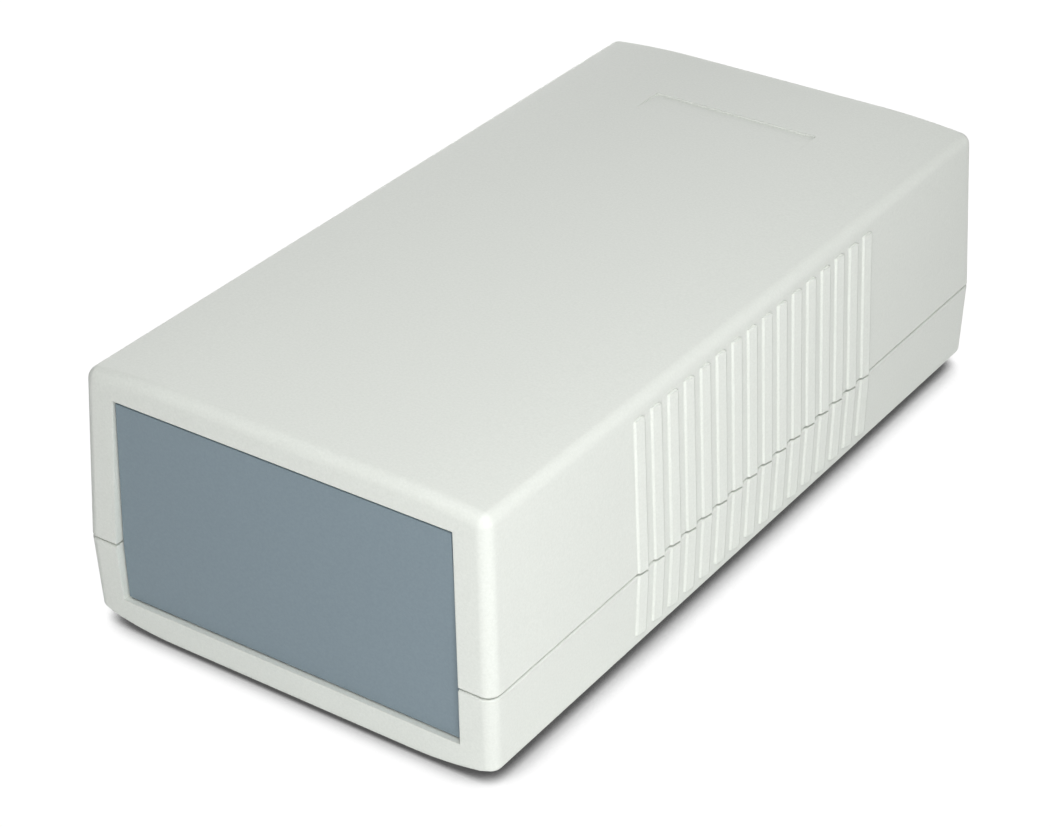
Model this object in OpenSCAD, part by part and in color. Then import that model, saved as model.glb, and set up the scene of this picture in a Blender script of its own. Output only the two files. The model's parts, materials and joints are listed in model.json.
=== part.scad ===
// Two-shell plastic project box with flat panels held in a frame at each end.
// Frame: origin at the middle of the base on the resting surface, +Z up, front panel towards -Y.
// Each shell is drawn upwards from the joint plane; the lower one is mirrored.

/* [Case] */
// Length of the case at the joint line, front to back
case_length = 241; // [200:1:320]
// Width of the case at the joint line
case_width = 124; // [112:1:170]
// Height of the lower shell, from its base to the joint line
lower_height = 25.5; // [23:0.5:35]
// Height of the upper shell, from the joint line to its top
upper_height = 49.5; // [40:0.5:70]
// Wall thickness of both shells
wall = 2.5; // [2:0.1:3]
// Open line between the two shells
joint_gap = 0.6; // [0.2:0.1:0.8]
// Bevel on the rim of the lower shell, beside the joint line
lower_rim_bevel = 0.4; // [0.2:0.05:0.6]
// Bevel on the rim of the upper shell, beside the joint line
upper_rim_bevel = 0.15; // [0.1:0.05:0.4]

/* [Outline] */
// Lean of the upper side walls, degrees
upper_side_taper = 2.6; // [1:0.1:4]
// Lean of the lower side walls, degrees
lower_side_taper = 1.25; // [0.5:0.05:4]
// Lean of both end faces away from the joint line, degrees
end_taper = 2.5; // [1:0.1:2.6]
// Radius of the upright corners
corner_radius = 3.5; // [2:0.1:6]
// Radius along the edges of the top
top_edge_radius = 3.5; // [2:0.1:3.6]
// Radius along the edges of the base
base_edge_radius = 2; // [1:0.1:3]
// Width of the flat middle of the top
top_flat_width = 62; // [54:1:80]
// Radius of the shoulders that bend down beside the flat of the top
top_shoulder_radius = 235; // [160:5:400]
// Width of the flat middle of the base
base_flat_width = 74; // [72:1:84]
// Radius of the shoulders that bend up beside the flat of the base
base_shoulder_radius = 95; // [85:5:300]

/* [End frames and panels] */
// Width of the frame at the sides of an end opening
frame_side = 9.6; // [8.5:0.1:14]
// Height of the frame above an end opening
frame_top = 7.7; // [7:0.1:12]
// Height of the frame below an end opening
frame_base = 8.8; // [6:0.1:12]
// Thickness of the frame in front of a panel's flange, at the joint line
lip = 3.3; // [3.2:0.1:4]
// Depth of a panel's face behind the end of the case, at the joint line
panel_recess = 2; // [1.9:0.1:2.4]
// Thickness of a panel's flange
panel_flange = 1.6; // [1.2:0.1:2.4]
// Reach of a panel's flange behind the frame
panel_lap = 2.2; // [1.5:0.1:3]
// Gap around a panel's raised face
panel_gap = 0.6; // [0.2:0.05:0.8]
// Play of a panel's flange in its slot
slot_play = 0.2; // [0.1:0.05:0.3]
// Thickness of the rib behind a panel
slot_rib = 1.8; // [1.4:0.1:3]

/* [Side ribs] */
// Number of wedge ribs on each side
rib_count = 16; // [6:1:20]
// Distance from one rib to the next
rib_pitch = 7.5; // [5:0.1:8.5]
// Width of a rib, from its front flank to its back edge
rib_width = 3.6; // [2.5:0.1:4.5]
// Height of a rib's back edge above the wall
rib_height = 1; // [0.4:0.05:1.2]
// Width of the steep front flank, which rises to half the height
rib_flank = 0.5; // [0.3:0.05:0.8]
// Distance of the ribs' upper ends below the top
rib_top_margin = 6.2; // [6:0.1:12]
// Distance of the ribs' lower ends above the base
rib_base_margin = 7.1; // [4:0.1:12]
// How far the rib bank sits ahead of the middle of the case
rib_shift = 2.6; // [0:0.1:6]

/* [Label recess] */
// Width of the wedge recess in the top
label_width = 52; // [30:1:52]
// Length over which the recess runs out to the surface
label_length = 12; // [8:0.5:20]
// Depth of the recess at its back edge
label_depth = 0.5; // [0.3:0.05:0.8]
// Distance of the recess's back edge from the rear end
label_inset = 32; // [20:0.5:50]

/* [Screws and towers] */
// Distance of the screws from the sides of the case
screw_side_inset = 15.5; // [15:0.1:19]
// Distance of the screws from the ends of the case
screw_end_inset = 20; // [18:0.5:26]
// Outer diameter of the lower screw towers
tower_d = 11; // [10.8:0.1:12]
// Outer diameter of the upper screw bosses at the joint line
boss_d = 8.2; // [7.4:0.1:9.5]
// Growth in diameter of the upper bosses towards the top
boss_flare = 1.2; // [0.4:0.1:2]
// Diameter of the screw heads
head_d = 6.8; // [6:0.1:7.2]
// Height of the screw heads
head_height = 2.4; // [2:0.1:3]
// Clearance around a screw head in its bore
head_clearance = 0.4; // [0.2:0.05:0.5]
// Thickness of the seat between a screw head and the joint line
seat_thickness = 4; // [3:0.1:6]
// Core diameter of the screw shanks
shank_d = 2.8; // [2.4:0.1:3.2]
// Length of a screw shank in its upper boss
bite = 13; // [8:0.5:16]
// Radial clearance of a shank in its pilot hole
pilot_clearance = 0.05; // [0.03:0.01:0.1]
// Radial clearance of a shank through the tower's seat
shank_clearance = 0.45; // [0.3:0.05:0.6]
// Thickness of the webs from towers and bosses to the side walls
web_thickness = 1.6; // [1.2:0.1:2.2]
// Gap between the webs and the joint line
web_gap = 9; // [6:0.5:14]

/* [Rim tongue] */
// Height of the tongue above the joint line
tongue_height = 2.2; // [1.5:0.1:3]
// Thickness of the tongue
tongue_thickness = 0.8; // [0.8:0.1:1.2]
// Clearance of the tongue in its groove
tongue_clearance = 0.15; // [0.1:0.01:0.2]

/* [Board standoffs] */
// Spacing of the standoffs across the case
standoff_spacing_x = 76; // [50:1:84]
// Spacing of the standoffs along the case
standoff_spacing_y = 156; // [90:1:166]
// Height of the standoffs above the floor
standoff_height = 5; // [3:0.5:10]
// Outer diameter of the standoffs
standoff_d = 7; // [6:0.1:8]
// Diameter of the standoffs' pilot holes
standoff_hole_d = 2.4; // [2:0.1:3]

/* [Feet] */
// Diameter of the rubber feet
foot_d = 11; // [8:0.5:12]
// Thickness of the feet
foot_thickness = 1.8; // [1.4:0.1:2.4]
// Depth of the recesses that the feet are stuck in
foot_recess = 0.8; // [0.5:0.1:1]
// Clearance around a foot in its recess
foot_clearance = 0.3; // [0.1:0.05:0.5]
// Spacing of the feet across the case
foot_spacing_x = 54; // [46:1:58]
// Distance of the feet from the ends of the case
foot_end_inset = 30; // [24:0.5:40]

/* [Hidden] */
$fn = 64;

shell_color = "#e3e6e0";
panel_color = "#8494a0";
screw_color = "#b9bcc0";
foot_color = "#3a3c3e";

half_width = case_width / 2;
half_length = case_length / 2;
half_gap = joint_gap / 2;
// Height of the base above the resting surface, and of the joint plane
foot_proud = foot_thickness - foot_recess;
joint_z = foot_proud + lower_height;
// Slot for a panel's flange, and where the open interior starts
slot_width = panel_flange + slot_play;
cavity_half_length = half_length - lip - slot_width - slot_rib;
// Heights of the end openings above and below the joint plane
opening_up = upper_height - frame_top;
opening_down = lower_height - frame_base;
screw_x = half_width - screw_side_inset;
screw_y = half_length - screw_end_inset;
head_bore_d = head_d + 2 * head_clearance;
foot_y = half_length - foot_end_inset;
// How deep a feature reaches into the wall that carries it
root = wall / 2;
crown_steps = 6;
round_fn = 32;
thin = 0.01;
beyond = 5;

// Drop of a crowned face below its flat middle, at x from the centre
function crown_drop(x, flat_half, radius) =
    x <= flat_half ? 0 : radius - sqrt(radius * radius - (x - flat_half) * (x - flat_half));

// Position of a side wall and of an opening's edge, z from the joint plane
function wall_x(z, taper) = half_width - z * tan(taper);
function opening_x(z, taper) = wall_x(z, taper) - frame_side;

module at_corners(x, y) {
    for (side = [-1, 1], end = [-1, 1])
        translate([side * x, end * y, 0]) children();
}

module at_sides() {
    children();
    mirror([1, 0, 0]) children();
}

module along_y(length) {
    rotate([90, 0, 0]) linear_extrude(length, center = true) children();
}

// Quarter-round rim of one corner: plan radius outside, edge radius in section
module corner_round(plan_radius, edge_radius) {
    rotate_extrude($fn = round_fn)
        intersection() {
            translate([max(plan_radius - edge_radius, 0), 0]) circle(edge_radius, $fn = round_fn);
            translate([0, -edge_radius]) square([plan_radius + edge_radius, 2 * edge_radius]);
        }
}

// Centre of the rounded edge where a side wall meets a crowned face, as [x, z]
function edge_centre(width, height, taper, flat_width, shoulder_radius, edge_radius) =
    let (path_radius = shoulder_radius - edge_radius,
         near_x = width / 2 - height * tan(taper) - edge_radius,
         near_z = height - edge_radius - crown_drop(near_x, flat_width / 2, path_radius),
         x = width / 2 - near_z * tan(taper) - edge_radius / cos(taper))
    [x, height - edge_radius - crown_drop(x, flat_width / 2, path_radius)];

// Short round bar along X, the section of an end's rounded edge
module edge_rod(length, edge_radius) {
    rotate([0, 90, 0]) cylinder(length, r = edge_radius, center = true, $fn = round_fn);
}

// Solid body from the joint plane up to a crowned face, with leaning walls and rounded edges
module crowned_body(width, length, height, side_taper, taper_of_end, flat_width, shoulder_radius,
                    plan_radius, edge_radius, start, bevel) {
    flat_half = flat_width / 2;
    path_radius = shoulder_radius - edge_radius;
    edge = edge_centre(width, height, side_taper, flat_width, shoulder_radius, edge_radius);
    edge_y = length / 2 - edge.y * tan(taper_of_end) - edge_radius / cos(taper_of_end);
    corner_step = max(plan_radius - edge_radius, 0);
    span = (edge.x - flat_half) / crown_steps;
    hull() {
        at_corners(width / 2 - plan_radius, length / 2 - plan_radius)
            translate([0, 0, start])
                cylinder(bevel, r1 = plan_radius - bevel, r2 = plan_radius, $fn = round_fn);
        at_corners(edge.x - corner_step, edge_y - corner_step)
            translate([0, 0, edge.y]) corner_round(plan_radius, edge_radius);
        for (end = [-1, 1])
            translate([0, end * edge_y, height - edge_radius]) {
                edge_rod(flat_width, edge_radius);
                at_sides()
                    for (step = [1 : crown_steps - 1]) {
                        x = flat_half + step * span;
                        translate([x, 0, -crown_drop(x, flat_half, path_radius)])
                            rotate([0, asin(step * span / path_radius), 0])
                                edge_rod(span / 2, edge_radius);
                    }
            }
    }
}

// Half outline of an end opening, grown by a margin
module opening_outline(up, taper, grow) {
    foot_x = opening_x(0, taper) + grow;
    top_x = opening_x(up, taper) + grow;
    polygon([[-foot_x, -beyond], [foot_x, -beyond], [foot_x, 0],
             [top_x, up + grow], [-top_x, up + grow], [-foot_x, 0]]);
}

// Bank of wedge ribs on the +X side: a steep front flank, a gentle rise and an upright back edge
module rib_bank(taper, top) {
    first_y = -rib_shift - (rib_count - 1) * rib_pitch / 2;
    translate([half_width, 0, 0]) rotate([0, -taper, 0])
        for (i = [0 : rib_count - 1])
            translate([0, first_y + i * rib_pitch, 0])
                linear_extrude(top)
                    polygon([[-root, 0], [0, 0], [rib_height / 2, rib_flank],
                             [rib_height, rib_width], [-root, rib_width]]);
}

// One shell without its inside fittings, open at the joint plane
module shell_blank(height, taper, flat_width, shoulder_radius, edge_radius, opening, rib_margin, bevel) {
    difference() {
        union() {
            crowned_body(case_width, case_length, height, taper, end_taper, flat_width,
                         shoulder_radius, corner_radius, edge_radius, half_gap, bevel);
            at_sides() rib_bank(taper, height - rib_margin);
        }
        crowned_body(case_width - 2 * wall, 2 * cavity_half_length, height - wall, taper, 0,
                     flat_width, shoulder_radius - wall, root, root, -root, root);
        along_y(case_length + beyond) opening_outline(opening, taper, 0);
        for (end = [-1, 1])
            translate([0, end * (half_length - lip - slot_width / 2), 0])
                along_y(slot_width) opening_outline(opening, taper, panel_lap + slot_play);
        translate([-case_width, -case_length, -beyond])
            cube([2 * case_width, 2 * case_length, beyond + half_gap]);
    }
}

// Web from a tower or boss to the side wall, ending inside the wall and its rounded edge
module web(height, taper, flat_width, shoulder_radius, edge_radius, post) {
    edge = edge_centre(case_width, height, taper, flat_width, shoulder_radius, edge_radius);
    along_y(web_thickness)
        polygon([[screw_x, web_gap], [wall_x(web_gap, taper) - root, web_gap],
                 [wall_x(edge.y, taper) - root, edge.y], [edge.x, edge.y + edge_radius - root],
                 [screw_x, post]]);
}

// Where a tower or boss of radius r ends inside a crowned face
function post_top(height, r, flat_width, shoulder_radius) =
    height - crown_drop(screw_x + r, flat_width / 2, shoulder_radius) - wall / 4;

module lower_shell() {
    post = post_top(lower_height, tower_d / 2, base_flat_width, base_shoulder_radius);
    color(shell_color)
    translate([0, 0, joint_z]) mirror([0, 0, 1])
    difference() {
        union() {
            shell_blank(lower_height, lower_side_taper, base_flat_width, base_shoulder_radius,
                        base_edge_radius, opening_down, rib_base_margin, lower_rim_bevel);
            at_corners(screw_x, screw_y) cylinder(post, d = tower_d);
            at_sides()
                for (end = [-1, 1])
                    translate([0, end * screw_y, 0])
                        web(lower_height, lower_side_taper, base_flat_width,
                            base_shoulder_radius, base_edge_radius, post);
            at_sides()
                translate([half_width - wall, -tongue_half_length(), -tongue_height])
                    cube([tongue_thickness, 2 * tongue_half_length(), tongue_height + wall]);
            at_corners(standoff_spacing_x / 2, standoff_spacing_y / 2)
                translate([0, 0, lower_height - wall - standoff_height])
                    cylinder(standoff_height + root, d = standoff_d);
        }
        at_corners(screw_x, screw_y) {
            translate([0, 0, -thin]) cylinder(seat_thickness + 1, d = shank_d + 2 * shank_clearance);
            translate([0, 0, seat_thickness]) cylinder(lower_height, d = head_bore_d);
        }
        at_corners(standoff_spacing_x / 2, standoff_spacing_y / 2)
            translate([0, 0, lower_height - wall - standoff_height - thin])
                cylinder(standoff_height + wall / 3, d = standoff_hole_d);
        at_corners(foot_spacing_x / 2, foot_y)
            translate([0, 0, lower_height - foot_recess])
                cylinder(beyond, d = foot_d + 2 * foot_clearance);
    }
}

function tongue_half_length() = half_length - corner_radius - wall;

module upper_shell() {
    post = post_top(upper_height, (boss_d + boss_flare) / 2, top_flat_width, top_shoulder_radius);
    color(shell_color)
    translate([0, 0, joint_z])
    difference() {
        union() {
            shell_blank(upper_height, upper_side_taper, top_flat_width, top_shoulder_radius,
                        top_edge_radius, opening_up, rib_top_margin, upper_rim_bevel);
            at_corners(screw_x, screw_y)
                cylinder(post, d1 = boss_d, d2 = boss_d + boss_flare);
            at_sides()
                for (end = [-1, 1])
                    translate([0, end * screw_y, 0])
                        web(upper_height, upper_side_taper, top_flat_width,
                            top_shoulder_radius, top_edge_radius, post);
        }
        at_corners(screw_x, screw_y)
            translate([0, 0, -thin]) cylinder(bite + 2, d = shank_d + 2 * pilot_clearance);
        at_sides() tongue_groove();
        label_recess();
    }
}

// Groove for the lower shell's tongue, with its clearance all round
module tongue_groove() {
    half = tongue_half_length() + tongue_clearance;
    translate([half_width - wall - 2 * tongue_clearance, -half, -beyond])
        cube([tongue_thickness + 3 * tongue_clearance, 2 * half,
              beyond + tongue_height + tongue_clearance]);
}

// Wedge recess in the flat of the top: deepest at its back edge, running out towards the front
module label_recess() {
    back = half_length - label_inset;
    rotate([90, 0, 90]) linear_extrude(label_width, center = true)
        polygon([[back, upper_height + beyond], [back, upper_height - label_depth],
                 [back - label_length, upper_height], [back - label_length, upper_height + beyond]]);
}

// Full outline of an end opening, both shells, grown or shrunk by a margin
module panel_outline(grow) {
    joint_x = opening_x(0, upper_side_taper) + grow;
    top_x = opening_x(opening_up, upper_side_taper) + grow;
    base_x = opening_x(opening_down, lower_side_taper) + grow;
    polygon([[-base_x, -opening_down - grow], [base_x, -opening_down - grow], [joint_x, 0],
             [top_x, opening_up + grow], [-top_x, opening_up + grow], [-joint_x, 0]]);
}

// Panel with a thin flange behind the frame and a raised face in the opening
module end_panel() {
    face = lip - panel_recess;
    color(panel_color)
    translate([0, 0, joint_z]) {
        translate([0, -half_length + lip + panel_flange / 2, 0])
            along_y(panel_flange) panel_outline(panel_lap);
        translate([0, -half_length + panel_recess + face / 2, 0])
            along_y(face) panel_outline(-panel_gap);
    }
}

module front_panel() { end_panel(); }

module rear_panel() { rotate([0, 0, 180]) end_panel(); }

// Pan-head screw, head down: domed head, cross recess and shank at its core diameter
module case_screw() {
    dome = 2 * head_d;
    difference() {
        union() {
            intersection() {
                translate([0, 0, -head_height]) cylinder(head_height, d = head_d);
                translate([0, 0, dome - head_height]) sphere(dome);
            }
            cylinder(seat_thickness + bite, d = shank_d);
        }
        for (turn = [0, 90])
            rotate([0, 0, turn]) translate([0, 0, -head_height])
                cube([head_d * 0.55, head_d * 0.15, head_height], center = true);
    }
}

module case_screws() {
    color(screw_color)
    at_corners(screw_x, screw_y)
        translate([0, 0, joint_z - seat_thickness]) case_screw();
}

// Round rubber foot with a softened lower rim
module foot(side, end) {
    rim = foot_proud / 2;
    color(foot_color)
    translate([side * foot_spacing_x / 2, end * foot_y, 0])
        rotate_extrude()
            union() {
                translate([0, rim]) square([foot_d / 2, foot_thickness - rim]);
                square([foot_d / 2 - rim, foot_thickness]);
                translate([foot_d / 2 - rim, rim]) circle(rim, $fn = round_fn);
            }
}

module foot_front_left() { foot(-1, -1); }
module foot_front_right() { foot(1, -1); }
module foot_rear_left() { foot(-1, 1); }
module foot_rear_right() { foot(1, 1); }

lower_shell();
upper_shell();
front_panel();
rear_panel();
case_screws();
foot_front_left();
foot_front_right();
foot_rear_left();
foot_rear_right();
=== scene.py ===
# %% [markdown]
# # A plastic project box
#
# The object is an instrument case for home-built electronics. Two moulded shells meet at a joint line,
# a flat panel sits in a frame at each end, and wedge ribs on both sides give the fingers a hold.
#
# The pieces that carry and fit each other come ready made as CAD parts, in metres, with the origin on the
# table under the middle of the case. This lesson gives them their finish, light and camera.

# %% Load the parts
import json
import math

import bmesh
import bpy
from mathutils import Matrix, Vector


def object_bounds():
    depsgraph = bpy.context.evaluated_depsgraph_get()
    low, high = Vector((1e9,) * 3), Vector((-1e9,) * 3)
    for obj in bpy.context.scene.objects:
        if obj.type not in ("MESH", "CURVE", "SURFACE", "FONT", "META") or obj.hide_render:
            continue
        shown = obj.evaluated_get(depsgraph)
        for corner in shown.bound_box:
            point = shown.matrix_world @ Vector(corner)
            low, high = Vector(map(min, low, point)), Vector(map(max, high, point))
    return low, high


MM = 0.001

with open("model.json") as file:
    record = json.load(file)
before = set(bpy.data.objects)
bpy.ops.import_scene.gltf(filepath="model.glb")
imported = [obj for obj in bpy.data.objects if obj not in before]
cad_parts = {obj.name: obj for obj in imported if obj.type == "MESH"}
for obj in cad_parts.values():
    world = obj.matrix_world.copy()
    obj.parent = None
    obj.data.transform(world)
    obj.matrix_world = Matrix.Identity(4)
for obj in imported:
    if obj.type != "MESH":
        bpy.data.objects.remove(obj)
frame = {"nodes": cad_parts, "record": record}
cad_low, cad_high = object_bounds()
case_size = cad_high - cad_low
case_middle = (cad_low + cad_high) / 2

print("parts:", ", ".join(sorted(frame["nodes"])))
print("case size in mm:", [round(side / MM, 1) for side in case_size])

# %% [markdown]
# ## The camera
#
# A long lens from a step away keeps the case's edges nearly parallel. The camera stands in front of the
# case, a little over a third of a right angle to its right and nearly as far above it, so that the front
# panel, the ribbed side and the whole top all show.
#
# A camera looks along its own -Z axis. `to_track_quat` turns that axis onto the wanted direction, and a
# small roll about the line of sight comes after it.

# %% Place the camera
VIEW_AZIMUTH = math.radians(34.80)
VIEW_ELEVATION = math.radians(31.51)
VIEW_ROLL = math.radians(-0.48)
CAMERA_PLACE = Vector((354.1, -526.5, 410.7)) * MM
LENS_MM = 94.07

towards_camera = Vector((
    math.sin(VIEW_AZIMUTH) * math.cos(VIEW_ELEVATION),
    -math.cos(VIEW_AZIMUTH) * math.cos(VIEW_ELEVATION),
    math.sin(VIEW_ELEVATION),
))

camera_data = bpy.data.cameras.new("camera")
camera_data.lens = LENS_MM
camera_data.clip_start = 10 * MM
camera = bpy.data.objects.new("camera", camera_data)
bpy.context.scene.collection.objects.link(camera)
camera.location = CAMERA_PLACE
camera.rotation_mode = "QUATERNION"
roll_turn = Matrix.Rotation(VIEW_ROLL, 3, "Z").to_quaternion()
camera.rotation_quaternion = (-towards_camera).to_track_quat("-Z", "Y") @ roll_turn
bpy.context.scene.camera = camera

print("camera distance in m:", round((CAMERA_PLACE - case_middle).length, 3))

# %% [markdown]
# ## Two kinds of white
#
# The ground has to look pure white while the light on the case stays plain. More light would make the
# ground white too, but it would burn out the pale plastic.
#
# The Light Path node tells the two apart. The rays that come from the camera, a reflection or glass see a
# floor and a sky that glow at a strength of about 1. The light that spreads meets a dim sky and a floor of
# plain white card.

# %% Node helpers
def node_of(tree, kind, **settings):
    """A new node of that kind, with its settings and, by name, the values of its inputs."""
    node = tree.nodes.new(kind)
    for key, value in settings.items():
        if key in node.inputs:
            node.inputs[key].default_value = value
        else:
            setattr(node, key, value)
    return node


def rescaled(tree, source, given=(0.0, 1.0), wanted=(0.0, 1.0)):
    """The source socket's value, carried from the given range to the wanted one by a Map Range node."""
    node = node_of(tree, "ShaderNodeMapRange")
    for name, value in zip(("From Min", "From Max", "To Min", "To Max"), (*given, *wanted)):
        node.inputs[name].default_value = value
    tree.links.new(source, node.inputs["Value"])
    return node.outputs["Result"]


def seen_directly(tree):
    """1 for rays from the camera, a reflection or glass, and 0 for the light that spreads."""
    path = node_of(tree, "ShaderNodeLightPath")
    total = path.outputs["Is Camera Ray"]
    for name in ("Is Glossy Ray", "Is Transmission Ray"):
        larger = node_of(tree, "ShaderNodeMath", operation="MAXIMUM")
        tree.links.new(total, larger.inputs[0])
        tree.links.new(path.outputs[name], larger.inputs[1])
        total = larger.outputs[0]
    return total


print("node helpers ready")

# %% [markdown]
# ### The sky
#
# The sky's strength is a Map Range on that signal: a weak fill for the light that spreads, and full white
# for the eye. The Standard view shows a strength of 1 as pure white, and a colour as it is written.

# %% Sky
SKY_FILL = 0.054
SKY_GLOW = 1.0

world = bpy.data.worlds.new("studio_sky")
bpy.context.scene.world = world
world.use_nodes = True
sky = world.node_tree
background = sky.nodes["Background"]
background.inputs["Color"].default_value = (1.0, 1.0, 1.0, 1.0)
sky_strength = rescaled(sky, seen_directly(sky), wanted=(SKY_FILL, SKY_GLOW))
sky.links.new(sky_strength, background.inputs["Strength"])
bpy.context.scene.view_settings.view_transform = "Standard"

print("sky strength, spread and seen:", SKY_FILL, SKY_GLOW)

# %% [markdown]
# ### The lamps
#
# A pale case is lit best by large lamps: a small one would burn out the top and leave the ribs black. One
# softbox stands low by the camera's right hand, so the upright corner that is nearest to it is the
# brightest. Two more hang over the front and the right of the case and let the top fall off towards the
# rear left. A fourth, low at the rear left, and a broad weak light from behind keep the back and the far
# side from going dark.
#
# The two low softboxes light the case but aren't mirrored in it. Seen from the opposite side, a low lamp's
# reflection would lie flat along the whole top and wash it out.

# %% Lamps
# Each softbox: its name, place and side in metres, power in watts, and whether the case mirrors it.
SOFTBOXES = (
    ("key_light", (0.455, -0.537, 0.22), 0.35, 2.6, False),
    ("front_top_light", (0.15, -0.30, 0.60), 0.40, 1.7, True),
    ("right_top_light", (0.30, 0.0, 0.50), 0.30, 0.9, True),
    ("rear_left_light", (-0.46, 0.50, 0.08), 0.18, 2.2, False),
)
REAR_FILL_PLACE = (-0.8, 1.0, 0.35)
REAR_FILL_STRENGTH = 0.50
REAR_FILL_SPREAD = math.radians(50)


def lamp_of(name, kind, place, aim, energy):
    """A lamp of that kind at place, turned to face aim."""
    data = bpy.data.lights.new(name, kind)
    data.energy = energy
    lamp = bpy.data.objects.new(name, data)
    bpy.context.scene.collection.objects.link(lamp)
    lamp.location = place
    lamp.rotation_mode = "QUATERNION"
    lamp.rotation_quaternion = (Vector(aim) - Vector(place)).to_track_quat("-Z", "Y")
    return lamp


for name, place, side, power, mirrored in SOFTBOXES:
    softbox = lamp_of(name, "AREA", place, case_middle, power)
    softbox.data.shape = "SQUARE"
    softbox.data.size = side
    softbox.visible_glossy = mirrored
rear_fill = lamp_of("rear_fill", "SUN", REAR_FILL_PLACE, (0.0, 0.0, 0.0), REAR_FILL_STRENGTH)
rear_fill.data.angle = REAR_FILL_SPREAD

# %% [markdown]
# ### The floor
#
# The floor is one flat sheet, far wider than the case. Its edge never shows, because there the white of
# the floor meets the white of the sky.

# %% Floor sheet
FLOOR_SIDE = 8.0

floor_mesh = bpy.data.meshes.new("floor")
sheet = bmesh.new()
bmesh.ops.create_grid(sheet, x_segments=1, y_segments=1, size=FLOOR_SIDE / 2)
sheet.to_mesh(floor_mesh)
sheet.free()
floor = bpy.data.objects.new("floor", floor_mesh)
bpy.context.scene.collection.objects.link(floor)

print("floor side in m:", FLOOR_SIDE)

# %% [markdown]
# ### The contact shadow
#
# Close to the case the floor's glow dims with Ambient Occlusion: the node gives the share of the open sky
# that the case leaves free above a point, and that share is smallest where the two nearly touch. A Map
# Range turns it into the glow, from dark grey under the case to white a finger's width away.

# %% White ground
CARD_COLOUR = (0.9, 0.9, 0.9, 1.0)
FLOOR_GLOW = 1.03
SHADOW_GLOW = 0.09
SHADOW_REACH = 14 * MM
SHADOW_CLOSED = 0.31
SHADOW_OPEN = 0.66

paper = bpy.data.materials.new("white_ground")
paper.use_nodes = True
ground = paper.node_tree
ground.nodes.clear()
ground_out = node_of(ground, "ShaderNodeOutputMaterial")
card = node_of(ground, "ShaderNodeBsdfDiffuse", Color=CARD_COLOUR)
openness = node_of(ground, "ShaderNodeAmbientOcclusion", samples=16, Distance=SHADOW_REACH)
glow = node_of(ground, "ShaderNodeEmission")
shown_ground = node_of(ground, "ShaderNodeMixShader")
glow_strength = rescaled(ground, openness.outputs["AO"],
                         given=(SHADOW_CLOSED, SHADOW_OPEN), wanted=(SHADOW_GLOW, FLOOR_GLOW))
ground.links.new(glow_strength, glow.inputs["Strength"])
ground.links.new(seen_directly(ground), shown_ground.inputs["Fac"])
ground.links.new(card.outputs["BSDF"], shown_ground.inputs[1])
ground.links.new(glow.outputs["Emission"], shown_ground.inputs[2])
ground.links.new(shown_ground.outputs["Shader"], ground_out.inputs["Surface"])
floor_mesh.materials.append(paper)

print("shadow reach in mm:", round(SHADOW_REACH / MM, 1))

# %% [markdown]
# ## Smooth walls, crisp edges
#
# The parts arrive as loose triangles with a normal of their own at every corner. A moulded wall should
# shade as one surface that turns softly into its rounded edge, while the rim of an opening stays crisp.
#
# Three live modifiers do that on every part and leave its own mesh as it is: Weld joins the triangles, a
# small geometry node tree marks each edge that bends sharply, and Weighted Normal lets the large faces
# win, so that a flat wall stays flat right up to its rounding.

# %% Shade by angle
SHARP_ANGLE = math.radians(32)


def angle_shading():
    """A geometry node tree that shades every face smooth and marks the sharp edges."""
    tree = bpy.data.node_groups.new("shade_by_angle", "GeometryNodeTree")
    tree.interface.new_socket("Geometry", in_out="INPUT", socket_type="NodeSocketGeometry")
    tree.interface.new_socket("Geometry", in_out="OUTPUT", socket_type="NodeSocketGeometry")
    group_in = node_of(tree, "NodeGroupInput")
    group_out = node_of(tree, "NodeGroupOutput")
    edge_angle = node_of(tree, "GeometryNodeInputMeshEdgeAngle")
    is_soft = node_of(tree, "FunctionNodeCompare", data_type="FLOAT", operation="LESS_EQUAL")
    is_soft.inputs["B"].default_value = SHARP_ANGLE
    all_smooth = node_of(tree, "GeometryNodeSetShadeSmooth", domain="FACE")
    all_smooth.inputs["Shade Smooth"].default_value = True
    soft_edges = node_of(tree, "GeometryNodeSetShadeSmooth", domain="EDGE")
    tree.links.new(edge_angle.outputs["Unsigned Angle"], is_soft.inputs["A"])
    tree.links.new(group_in.outputs[0], all_smooth.inputs["Geometry"])
    tree.links.new(all_smooth.outputs[0], soft_edges.inputs["Geometry"])
    tree.links.new(is_soft.outputs[0], soft_edges.inputs["Shade Smooth"])
    tree.links.new(soft_edges.outputs[0], group_out.inputs[0])
    return tree


shade_tree = angle_shading()
print("nodes that shade by angle:", len(shade_tree.nodes))

# %% [markdown]
# The end panels are plain plates, so they also get a real Bevel round their rims. On the shells such a
# modifier would stop at their smallest facets, so their crisp edges are softened in the material instead.

# %% Live modifiers
WELD_DISTANCE = 0.002 * MM
BEVEL_ANGLE = math.radians(50)
PANEL_EDGE = 0.25 * MM


def weld_part(part):
    """Joins the loose triangles of one part."""
    weld = part.modifiers.new("weld", "WELD")
    weld.merge_threshold = WELD_DISTANCE


def soften_edges(part):
    """A small round on the sharp edges of one part."""
    bevel = part.modifiers.new("soft_edges", "BEVEL")
    bevel.width = PANEL_EDGE
    bevel.segments = 2
    bevel.limit_method = "ANGLE"
    bevel.angle_limit = BEVEL_ANGLE


def shade_moulded(part):
    """Angle shading and weighted normals on one part."""
    shading = part.modifiers.new("shade_by_angle", "NODES")
    shading.node_group = shade_tree
    weighted = part.modifiers.new("weighted_normals", "WEIGHTED_NORMAL")
    weighted.keep_sharp = True
    weighted.weight = 100


for name, part in frame["nodes"].items():
    weld_part(part)
    if name.endswith("panel"):
        soften_edges(part)
    shade_moulded(part)
print("shaded parts:", len(frame["nodes"]))

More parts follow.
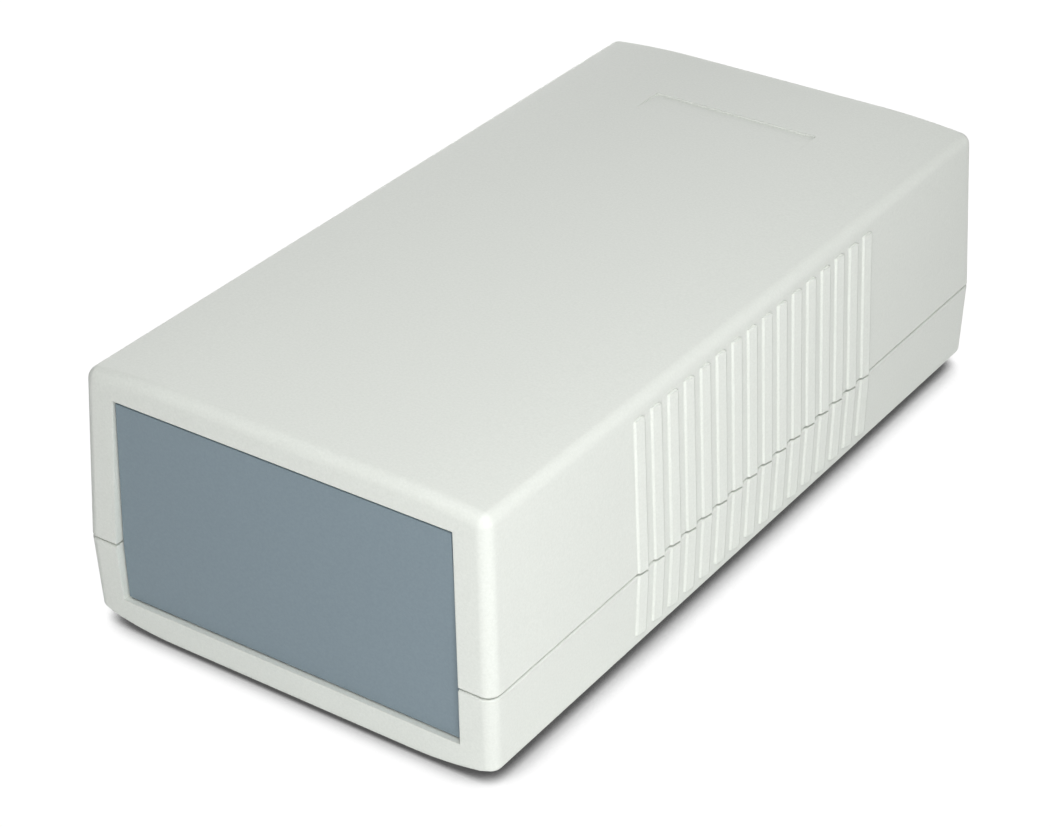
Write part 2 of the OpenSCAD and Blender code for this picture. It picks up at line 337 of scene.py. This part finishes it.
# %% [markdown]
# ## The spark-eroded grain
#
# The mould for such a case is roughened by sparks, and the plastic copies it: a fine, even pebble that
# scatters the light and hides fingerprints. Shells, panels and rubber feet all come out of such moulds
# with grains of different sizes, so the grain is one node group with named inputs, placed in each
# material with its own values.
#
# Two noises of different size are added, because one alone looks like printed dots.

# %% The grain group
FINE_TIMES = 2.7
# The span of the grain's height over which its painted pit shade and its roughness change.
PIT_SHADE_AND_ROUGHNESS_SPAN = (0.3, 0.7)


def grain_group():
    """Node group: Height for a bump, and the same height again, which paints shade into the grain's
    hollows and sets the roughness.
    """
    tree = bpy.data.node_groups.new("spark_eroded_grain", "ShaderNodeTree")
    tree.interface.new_socket("Grain Size", in_out="INPUT", socket_type="NodeSocketFloat")
    tree.interface.new_socket("Fine Share", in_out="INPUT", socket_type="NodeSocketFloat")
    tree.interface.new_socket("Height", in_out="OUTPUT", socket_type="NodeSocketFloat")
    tree.interface.new_socket("Pit Shade And Roughness", in_out="OUTPUT", socket_type="NodeSocketFloat")
    group_in = node_of(tree, "NodeGroupInput")
    group_out = node_of(tree, "NodeGroupOutput")
    coords = node_of(tree, "ShaderNodeTexCoord")
    scale = node_of(tree, "ShaderNodeMath", operation="DIVIDE")
    scale.inputs[0].default_value = 1.0
    tree.links.new(group_in.outputs["Grain Size"], scale.inputs[1])
    fine_scale = node_of(tree, "ShaderNodeMath", operation="MULTIPLY")
    fine_scale.inputs[1].default_value = FINE_TIMES
    tree.links.new(scale.outputs[0], fine_scale.inputs[0])
    coarse = node_of(tree, "ShaderNodeTexNoise", Detail=1.5, Roughness=0.5)
    fine = node_of(tree, "ShaderNodeTexNoise", Detail=1.0, Roughness=0.5)
    for noise, source in ((coarse, scale), (fine, fine_scale)):
        tree.links.new(coords.outputs["Object"], noise.inputs["Vector"])
        tree.links.new(source.outputs[0], noise.inputs["Scale"])
    height = node_of(tree, "ShaderNodeMix", data_type="FLOAT")
    tree.links.new(group_in.outputs["Fine Share"], height.inputs["Factor"])
    tree.links.new(coarse.outputs["Fac"], height.inputs["A"])
    tree.links.new(fine.outputs["Fac"], height.inputs["B"])
    # The second output: painted shade in the grain's hollows, and the roughness, both from the grain's
    # height.
    pit_shade_and_roughness = rescaled(tree, height.outputs["Result"], given=PIT_SHADE_AND_ROUGHNESS_SPAN)
    tree.links.new(height.outputs["Result"], group_out.inputs["Height"])
    tree.links.new(pit_shade_and_roughness, group_out.inputs["Pit Shade And Roughness"])
    return tree


grain_tree = grain_group()
grain_sockets = grain_tree.interface.items_tree
print("grain inputs:", [socket.name for socket in grain_sockets if socket.in_out == "INPUT"])

# %% [markdown]
# ## Plastic, rubber and steel
#
# Each material takes its colour from two close tones, mixed by the grain: the darker is painted shade in
# the grain's hollows and the lighter the lit tops between them. Its roughness comes from the same grain.
# The zinc-plated steel of the screws needs no more than that, so it comes first.

# %% Colour and roughness from the grain
def grained_shader(name, grain_mm, fine_share, shaded_and_lit_tones, rough):
    """Material, shader and grain node; the grain paints shade into the hollows and varies the roughness.
    """
    material = bpy.data.materials.new(name)
    material.use_nodes = True
    tree = material.node_tree
    shader = tree.nodes["Principled BSDF"]
    grain = node_of(tree, "ShaderNodeGroup", node_tree=grain_tree)
    grain.inputs["Grain Size"].default_value = grain_mm * MM
    grain.inputs["Fine Share"].default_value = fine_share
    # The two tones are one colour in painted shade and lit: the grain's hollows get the darker one.
    pit_shaded_colour = node_of(tree, "ShaderNodeMix", data_type="RGBA")
    pit_shaded_colour.inputs["A"].default_value = (*shaded_and_lit_tones[0], 1.0)
    pit_shaded_colour.inputs["B"].default_value = (*shaded_and_lit_tones[1], 1.0)
    tree.links.new(grain.outputs["Pit Shade And Roughness"], pit_shaded_colour.inputs["Factor"])
    tree.links.new(pit_shaded_colour.outputs["Result"], shader.inputs["Base Color"])
    tree.links.new(rescaled(tree, grain.outputs["Pit Shade And Roughness"], wanted=rough), shader.inputs["Roughness"])
    return material, shader, grain


# Each pair of tones: the painted shade of the grain's hollows first, then the lit tops.
screw_steel, steel_shader, _ = grained_shader(
    "screw_steel", grain_mm=0.25, fine_share=0.35,
    shaded_and_lit_tones=((0.58, 0.59, 0.60), (0.72, 0.73, 0.74)), rough=(0.22, 0.38))
steel_shader.inputs["Metallic"].default_value = 1.0
print("metal:", screw_steel.name)

# %% [markdown]
# Plastic and rubber show the grain as a relief too, so it also drives their bump.
#
# No moulded edge is a true knife edge. A Bevel node turns the normals within a fraction of a millimetre
# of each crisp edge, which gives it the thin light line of a real one, and the grain's bump starts from
# those normals.

# %% Moulded materials
def moulded_material(name, grain_mm, fine_share, shaded_and_lit_tones, rough, depth_mm, strength, edge_mm):
    """A matt moulded material. edge_mm is the radius that its crisp edges seem to have."""
    material, shader, grain = grained_shader(name, grain_mm, fine_share, shaded_and_lit_tones, rough)
    tree = material.node_tree
    bump = node_of(tree, "ShaderNodeBump", Strength=strength, Distance=depth_mm * MM)
    rounding = node_of(tree, "ShaderNodeBevel", samples=4, Radius=edge_mm * MM)
    tree.links.new(grain.outputs["Height"], bump.inputs["Height"])
    tree.links.new(rounding.outputs["Normal"], bump.inputs["Normal"])
    tree.links.new(bump.outputs["Normal"], shader.inputs["Normal"])
    return material


# Each pair of tones: the painted shade of the grain's hollows first, then the lit tops.
shell_plastic = moulded_material(
    "shell_plastic", grain_mm=0.65, fine_share=0.4,
    shaded_and_lit_tones=((0.693, 0.720, 0.675), (0.757, 0.783, 0.738)), rough=(0.40, 0.54),
    depth_mm=0.06, strength=0.55, edge_mm=0.35)
panel_plastic = moulded_material(
    "panel_plastic", grain_mm=0.7, fine_share=0.4,
    shaded_and_lit_tones=((0.178, 0.234, 0.270), (0.209, 0.271, 0.307)), rough=(0.42, 0.58),
    depth_mm=0.05, strength=0.5, edge_mm=0.2)
foot_rubber = moulded_material(
    "foot_rubber", grain_mm=0.5, fine_share=0.5,
    shaded_and_lit_tones=((0.030, 0.030, 0.032), (0.045, 0.045, 0.047)), rough=(0.70, 0.85),
    depth_mm=0.03, strength=0.4, edge_mm=0.2)
print("moulded:", ", ".join(material.name for material in (shell_plastic, panel_plastic, foot_rubber)))

# %% [markdown]
# ## Every part gets its finish
#
# Each part names a material slot, and that name picks its material.

# %% Assign the materials
FINISHES = {
    "shell": shell_plastic,
    "panel": panel_plastic,
    "foot": foot_rubber,
    "screw": screw_steel,
}
for row in frame["record"]["subparts"]:
    part = frame["nodes"][row["node"]]
    part.data.materials.clear()
    part.data.materials.append(FINISHES[row["material_slot"]])
print("finishes:", ", ".join(sorted(FINISHES)))
